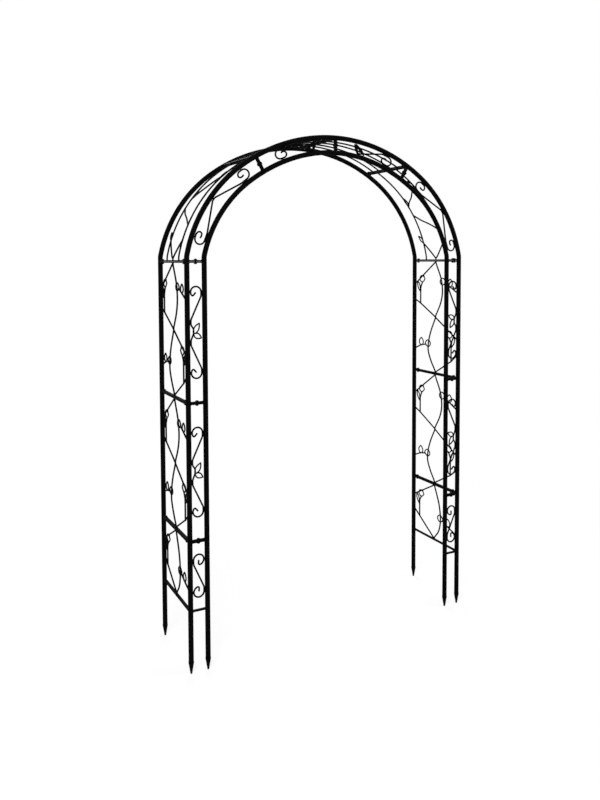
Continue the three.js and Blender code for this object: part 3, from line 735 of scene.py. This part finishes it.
def side_vine(builder, low, high, is_foot):
    """The vine of a leg section: half a bay at the foot, else two halves, the lower one mirrored."""
    def place(top, mirrored):
        def point(x, y):
            return on_side(DEPTH - x if mirrored else x, top - y)
        return point

    if is_foot:
        half_vine(builder, place(high, False), high - low, FOOT_HALF, False, False)
        return
    middle = (low + high) / 2
    half_vine(builder, place(high, False), high - middle, UPPER_HALF, False, True)
    half_vine(builder, place(middle, True), middle - low, LOWER_HALF, True, False)


def roof_rod(builder, low, high, share0, share1):
    path = [(DEPTH * (share0 + (share1 - share0) * t), low + t * (high - low))
            for t in np.linspace(0, 1, ROD_POINTS)]
    wire(builder, on_roof, path)


def haunch_vine(builder, low, high):
    """Two rods with a pointed tie and two bent wires between them, and three slim leaves."""
    back, front = HAUNCH_RODS

    def at(x, y):
        return np.array([x * DEPTH, low + y * (high - low)])

    roof_rod(builder, low, high, back, back)
    roof_rod(builder, low, high, front, front)
    wire(builder, on_roof, filleted([at(back, 0.158), at(0.5, 0.006), at(front, 0.158)], [0, 14, 0]))
    for path in (((front, 0.28), (0.566, 0.34), (0.403, 0.39), (back, 0.445)),
                 ((back, 0.535), (0.345, 0.58), (0.48, 0.64), (0.585, 0.7), (front, 0.77))):
        wire(builder, on_roof, smooth([at(x, y) for x, y in path]))
    for base, tip in (((back, 0.162), (0.208, 0.23)), ((0.3, 0.55), (0.29, 0.64)),
                      ((0.7, 0.745), (0.68, 0.83))):
        leaf(builder, on_roof, at(*base), at(*tip), SLIM_WIDTH)
    places = [at(back, 0.158), at(front, 0.158), at(0.5, 0.008), at(front, 0.28), at(back, 0.445),
              at(back, 0.535), at(front, 0.77)]
    welds(builder, on_roof, places, ROOF_WELD)


def crown_vine(builder, low, high):
    for shoulder, crown in CROWN_RODS:
        roof_rod(builder, low, high, shoulder, crown)


# Strips, tubes, points and bolts

def edges(section):
    """The planes of a section's two strips, and how far along from them the strips lie."""
    low, high = section
    first = (RAIL, 0.0) if low is None else (low, GAP / 2 + STRIP_T / 2)
    return [first, (high, -GAP / 2 - STRIP_T / 2)]


def strips(builder, section, column, seeds, far_bite, far_bead, across=None):
    """A section's strips from a column inward or across, beaded where no other strip lies against them."""
    seed, seed_step = seeds
    for k, (plane, offset) in enumerate(edges(section)):
        point, along, inward = frame_at(column, plane_length(plane, column))
        point = point + along * offset
        reach, length = (inward, gap_at(plane)) if across is None else (across, DEPTH)
        start = point + reach * (TUBE_R - STRIP_BITE)
        builder.bar(start, point + reach * (length - TUBE_R + far_bite), along)
        for end, direction, thick in ((0.0, reach, BEAD_R), (length, -reach, far_bead)):
            for face in (-1, 1):
                if plane is RAIL or k * 2 - 1 != face:
                    centre = point + reach * end + along * face * STRIP_T / 2
                    builder.bead(centre, direction, along, seed + k * seed_step + end + face, thick)


def tube_section(builder, column, section):
    """A section's tube, and its ground point where it is the lowest one."""
    low, high = section
    end = plane_length(high, column) - GAP / 2
    top = TAPER + COLLAR
    builder.tube(column, top - SPRING_Z if low is None else plane_length(low, column) + GAP / 2, end)
    if low is None:
        profile = [(0.5, 0.0), (TIP_R - 0.5, 0.0), (TIP_R, 0.5)]
        for t in np.linspace(0.08, 1, TAPER_POINTS):
            profile.append((TIP_R + (COLLAR_R - 0.2 - TIP_R) * (0.84 * t + 0.16 * t * t), TAPER * t))
        profile += [(COLLAR_R, TAPER + 0.6), (COLLAR_R, top - 0.9), (COLLAR_R - 0.4, top - 0.3)]
        profile += [(TUBE_R - 0.4, top)]
        base = np.array([column[1], column[2], 0.0])
        builder.turned(profile, base, np.array([0.0, 0, 1]), np.array([1.0, 0, 0]), TUBE_SIDES)


def bolt(builder, point, along, inward):
    """A domed head, the shank, a hexagonal nut under the strips and the end of the thread."""
    grip = STRIP_FACE + GAP
    dome = [(HEAD_R * math.cos(a), grip + HEAD_EDGE + (HEAD_HEIGHT - HEAD_EDGE) * math.sin(a))
            for a in np.linspace(0.06, 1.5, HEAD_POINTS)]
    head = [(SHANK_R, grip), (HEAD_R - HEAD_ROUNDING, grip), (HEAD_R, grip + HEAD_ROUNDING)] + dome
    builder.turned(head, point, along, inward, HEAD_SIDES)
    builder.turned([(SHANK_R, -grip), (SHANK_R, grip)], point, along, inward, SHANK_SIDES)
    builder.turned([(r, -grip - depth) for r, depth in NUT_RINGS], point, along, inward, NUT_SIDES)
    thread = [(THREAD_R if i % 2 else THREAD_ROOT_R, -grip - NUT_HEIGHT - THREAD_STEP * i)
              for i in reversed(range(THREAD_RINGS))]
    builder.turned(thread + [(THREAD_R, -grip - THREAD_START)], point, along, inward, SHANK_SIDES)


# Materials

# Noises over the coat, with scales per metre: for its colour, its gloss and its orange peel.
COLOUR_NOISE = {"Scale": 14.0, "Detail": 5.0}
GLOSS_NOISE = {"Scale": 55.0, "Detail": 6.0}
PEEL_NOISE = {"Scale": 900.0, "Detail": 3.0}
PEEL_DEPTH = 0.0004
SPECULAR = 0.015
COLOUR_STOPS = (0.3, 0.75)


def fresh_nodes(owner):
    """The emptied nodes of a material or world, and its links."""
    owner.use_nodes = True
    owner.node_tree.nodes.clear()
    return owner.node_tree.nodes, owner.node_tree.links


def new_node(nodes, kind, values=()):
    """A shader node with values on its own sockets."""
    node = nodes.new(kind)
    for socket, value in dict(values).items():
        node.inputs[socket].default_value = value
    return node


def powder_coat(name, dark, light, rough_low, rough_high, peel, metallic=0.0):
    """A coated steel whose colour, gloss and fine orange peel vary over the surface."""
    material = bpy.data.materials.new(name)
    nodes, links = fresh_nodes(material)
    out = new_node(nodes, "ShaderNodeOutputMaterial")
    shader = new_node(nodes, "ShaderNodeBsdfPrincipled",
                      {"Metallic": metallic, "Specular IOR Level": SPECULAR})
    place = new_node(nodes, "ShaderNodeNewGeometry")
    broad = new_node(nodes, "ShaderNodeTexNoise", COLOUR_NOISE)
    colour = new_node(nodes, "ShaderNodeValToRGB")
    for element, position, shade in zip(colour.color_ramp.elements, COLOUR_STOPS, (dark, light)):
        element.position = position
        element.color = (*shade, 1)
    gloss_noise = new_node(nodes, "ShaderNodeTexNoise", GLOSS_NOISE)
    gloss = new_node(nodes, "ShaderNodeMapRange", {"To Min": rough_low, "To Max": rough_high})
    fine = new_node(nodes, "ShaderNodeTexNoise", PEEL_NOISE)
    bump = new_node(nodes, "ShaderNodeBump", {"Strength": peel, "Distance": PEEL_DEPTH})
    for texture in (broad, gloss_noise, fine):
        links.new(place.outputs["Position"], texture.inputs["Vector"])
    links.new(broad.outputs["Fac"], colour.inputs["Fac"])
    links.new(colour.outputs["Color"], shader.inputs["Base Color"])
    links.new(gloss_noise.outputs["Fac"], gloss.inputs["Value"])
    links.new(gloss.outputs["Result"], shader.inputs["Roughness"])
    links.new(fine.outputs["Fac"], bump.inputs["Height"])
    links.new(bump.outputs["Normal"], shader.inputs["Normal"])
    links.new(shader.outputs["BSDF"], out.inputs["Surface"])
    return material


coat = powder_coat("black_powder_coat", (0.0008, 0.0008, 0.001), (0.0022, 0.0022, 0.0025), 0.52, 0.72, 0.1)
weld = powder_coat("coated_weld", (0.0008, 0.0008, 0.0009), (0.003, 0.003, 0.0032), 0.56, 0.76, 0.6)
fastener = powder_coat("black_fastener", (0.002, 0.002, 0.0023), (0.005, 0.005, 0.0056), 0.34, 0.5, 0.2, 0.2)
FRAME_STEEL = ("frame_steel", (coat, weld))
FASTENER_STEEL = ("fastener_steel", (fastener,))


# Pieces

def scrollwork(builder, level, section, flipped):
    low, high = between(section, 0.0)
    if level == "foot":
        foot_scroll(builder, SPRING_Z + low, SPRING_Z + high)
    elif level in ("lower", "upper"):
        leg_scroll(builder, SPRING_Z + low, SPRING_Z + high, flipped)
    elif level == "haunch":
        haunch_scroll(builder, low, high, flipped)
    else:
        crown_scroll(builder, low, high)


def vine(builder, level, section):
    low, high = between(section, VINE_BITE)
    if level == "haunch":
        haunch_vine(builder, low, high)
    elif level == "crown":
        crown_vine(builder, low, high)
    else:
        side_vine(builder, SPRING_Z + low, SPRING_Z + high, level == "foot")


def section_pieces(hand, sign, number, level, section):
    """The front frame, the scrollwork and the side or roof panel of a section."""
    front = Builder()
    tube_section(front, OUTER, section)
    tube_section(front, INNER, section)
    strips(front, section, OUTER, (number * 11 + sign, 7), STRIP_BITE, BEAD_R)
    to_object(front, f"{hand}_{level}_front", sign, f"{hand}_{level}_front_frame", *FRAME_STEEL)
    scroll = Builder()
    scrollwork(scroll, level, section, sign > 0)
    to_object(scroll, f"{hand}_{level}_scrollwork", sign, f"{hand}_{level}_scroll", *FRAME_STEEL)
    panel = Builder()
    if level == "foot":
        leg = Builder()
        tube_section(leg, BACK, section)
        to_object(leg, f"{hand}_foot_back_leg", sign, f"{hand}_foot_back_tube", *FRAME_STEEL)
    else:
        tube_section(panel, BACK, section)
    forward = np.array([0.0, -1, 0])
    strips(panel, section, BACK, (number * 13 + sign, 5), SIDE_STRIP_BITE, FAR_BEAD_R, forward)
    vine(panel, level, section)
    panel_name = "roof_panel" if level in ("haunch", "crown") else "side_panel"
    to_object(panel, f"{hand}_{level}_vine", sign, f"{hand}_{level}_{panel_name}", *FRAME_STEEL)


def bolts(prefix, plane, sign):
    """The bolts of a joint: one through the front strips and two through the side strips."""
    front, along, inward = frame_at(OUTER, plane_length(plane, OUTER))
    back = frame_at(BACK, plane_length(plane, BACK))[0]
    spots = {
        "front": front + inward * gap_at(plane) / 2,
        "side_front": back + np.array([0, BOLT_INSET - DEPTH, 0]),
        "side_back": back + np.array([0, -BOLT_INSET, 0]),
    }
    for spot_name, point in spots.items():
        piece = Builder()
        bolt(piece, point, along, inward)
        name = f"{prefix}_{spot_name}_bolt"
        to_object(piece, name + "_detail", sign, name, *FASTENER_STEEL)


for hand, sign in (("left", -1), ("right", 1)):
    for number, (level, section) in enumerate(SECTIONS.items()):
        section_pieces(hand, sign, number, level, section)
    for joint, plane in JOINTS.items():
        bolts(f"{hand}_{joint}", plane, sign)
bolts("crown", CROWN, -1)


# Floor, background and light, in metres and watts

FLOOR_REACH = 14.0
FLOOR_COLOUR = (0.9, 0.9, 0.9, 1)
# Distances from the middle, and the share of plain white that the floor shows there.
WHITE_NEAR, WHITE_FAR = (0.9, 0.72), (3.2, 1.0)
SKY_COLOUR, SKY_STRENGTH = (0.95, 0.97, 1.0, 1), 0.5
# A lamp: place, target, width and length, power.
LAMPS = {
    "key": ((-2.6, -3.4, 4.6), (0, 0, 1.2), (2.4, 2.4), 190),
    "fill": ((3.6, -2.6, 2.6), (0, 0, 1.2), (2.6, 2.6), 90),
    "rim": ((0.6, 3.8, 3.8), (0, 0, 1.4), (3.2, 1.6), 110),
}


def seen_ray(nodes, links):
    """A socket that is 1 for what the camera sees, straight or in a reflection, and 0 for lighting."""
    path = new_node(nodes, "ShaderNodeLightPath")
    reached = path.outputs["Is Camera Ray"]
    for kind in ("Is Glossy Ray", "Is Transmission Ray"):
        either = new_node(nodes, "ShaderNodeMath")
        either.operation = "MAXIMUM"
        links.new(reached, either.inputs[0])
        links.new(path.outputs[kind], either.inputs[1])
        reached = either.outputs[0]
    return reached


def simple_floor():
    """A pale floor that keeps the arch's shadow near it and turns plain white farther out."""
    mesh = bpy.data.meshes.new("floor")
    corners = [(x * FLOOR_REACH, y * FLOOR_REACH, 0) for x, y in ((-1, -1), (1, -1), (1, 1), (-1, 1))]
    mesh.from_pydata(corners, [], [(0, 1, 2, 3)])
    floor = bpy.data.objects.new("floor", mesh)
    bpy.context.scene.collection.objects.link(floor)
    material = bpy.data.materials.new("pale_floor")
    nodes, links = fresh_nodes(material)
    out = new_node(nodes, "ShaderNodeOutputMaterial")
    matt = new_node(nodes, "ShaderNodeBsdfDiffuse", {"Color": FLOOR_COLOUR})
    glow = new_node(nodes, "ShaderNodeEmission", {"Strength": 1.0})
    place = new_node(nodes, "ShaderNodeNewGeometry")
    reach = new_node(nodes, "ShaderNodeVectorMath")
    reach.operation = "LENGTH"
    fade = new_node(nodes, "ShaderNodeMapRange", {
        "From Min": WHITE_NEAR[0], "From Max": WHITE_FAR[0], "To Min": WHITE_NEAR[1], "To Max": WHITE_FAR[1],
    })
    share = new_node(nodes, "ShaderNodeMath")
    share.operation = "MULTIPLY"
    mix = new_node(nodes, "ShaderNodeMixShader")
    links.new(place.outputs["Position"], reach.inputs[0])
    links.new(reach.outputs["Value"], fade.inputs["Value"])
    links.new(seen_ray(nodes, links), share.inputs[0])
    links.new(fade.outputs["Result"], share.inputs[1])
    links.new(share.outputs[0], mix.inputs["Fac"])
    links.new(matt.outputs[0], mix.inputs[1])
    links.new(glow.outputs[0], mix.inputs[2])
    links.new(mix.outputs[0], out.inputs["Surface"])
    mesh.materials.append(material)


def background():
    """A sky that looks white and lights the arch softly."""
    world = bpy.data.worlds.new("studio")
    bpy.context.scene.world = world
    nodes, links = fresh_nodes(world)
    out = new_node(nodes, "ShaderNodeOutputWorld")
    seen = new_node(nodes, "ShaderNodeBackground", {"Color": (1, 1, 1, 1), "Strength": 1.0})
    light = new_node(nodes, "ShaderNodeBackground", {"Color": SKY_COLOUR, "Strength": SKY_STRENGTH})
    mix = new_node(nodes, "ShaderNodeMixShader")
    links.new(seen_ray(nodes, links), mix.inputs["Fac"])
    links.new(light.outputs[0], mix.inputs[1])
    links.new(seen.outputs[0], mix.inputs[2])
    links.new(mix.outputs[0], out.inputs["Surface"])


def lamp(name, place, target, size, power):
    data = bpy.data.lights.new(name, "AREA")
    data.shape = "RECTANGLE"
    data.size, data.size_y = size
    data.energy = power
    obj = bpy.data.objects.new(name, data)
    obj.location = place
    obj.rotation_euler = (Vector(target) - Vector(place)).to_track_quat("-Z", "Y").to_euler()
    bpy.context.scene.collection.objects.link(obj)


# The camera: place in metres, angles in radians, focal length and shift in pixels of the picture.
CAMERA_PLACE = (-1.69143, -3.10916, 1.72631)
YAW, PITCH, ROLL = 0.47636, 0.05239, 0.00359
FOCAL = 749.28
SHIFT_Y = -100
PICTURE_HEIGHT = 800
SENSOR = 36.0


def camera():
    forward = Vector((math.sin(YAW) * math.cos(PITCH), math.cos(YAW) * math.cos(PITCH), -math.sin(PITCH)))
    right = Vector((math.cos(YAW), -math.sin(YAW), 0))
    down = forward.cross(right)
    r = right * math.cos(ROLL) + down * math.sin(ROLL)
    d = down * math.cos(ROLL) - right * math.sin(ROLL)
    data = bpy.data.cameras.new("camera")
    data.sensor_width = SENSOR
    data.sensor_fit = "AUTO"
    data.lens = FOCAL / PICTURE_HEIGHT * SENSOR
    data.shift_y = SHIFT_Y / PICTURE_HEIGHT
    data.clip_end = 100
    obj = bpy.data.objects.new("camera", data)
    rotation = Matrix((r, -d, -forward)).transposed()
    obj.matrix_world = Matrix.Translation(CAMERA_PLACE) @ rotation.to_4x4()
    bpy.context.scene.collection.objects.link(obj)
    bpy.context.scene.camera = obj


simple_floor()
background()
for name, settings in LAMPS.items():
    lamp(name, *settings)
camera()
bpy.context.scene.view_settings.view_transform = "Standard"
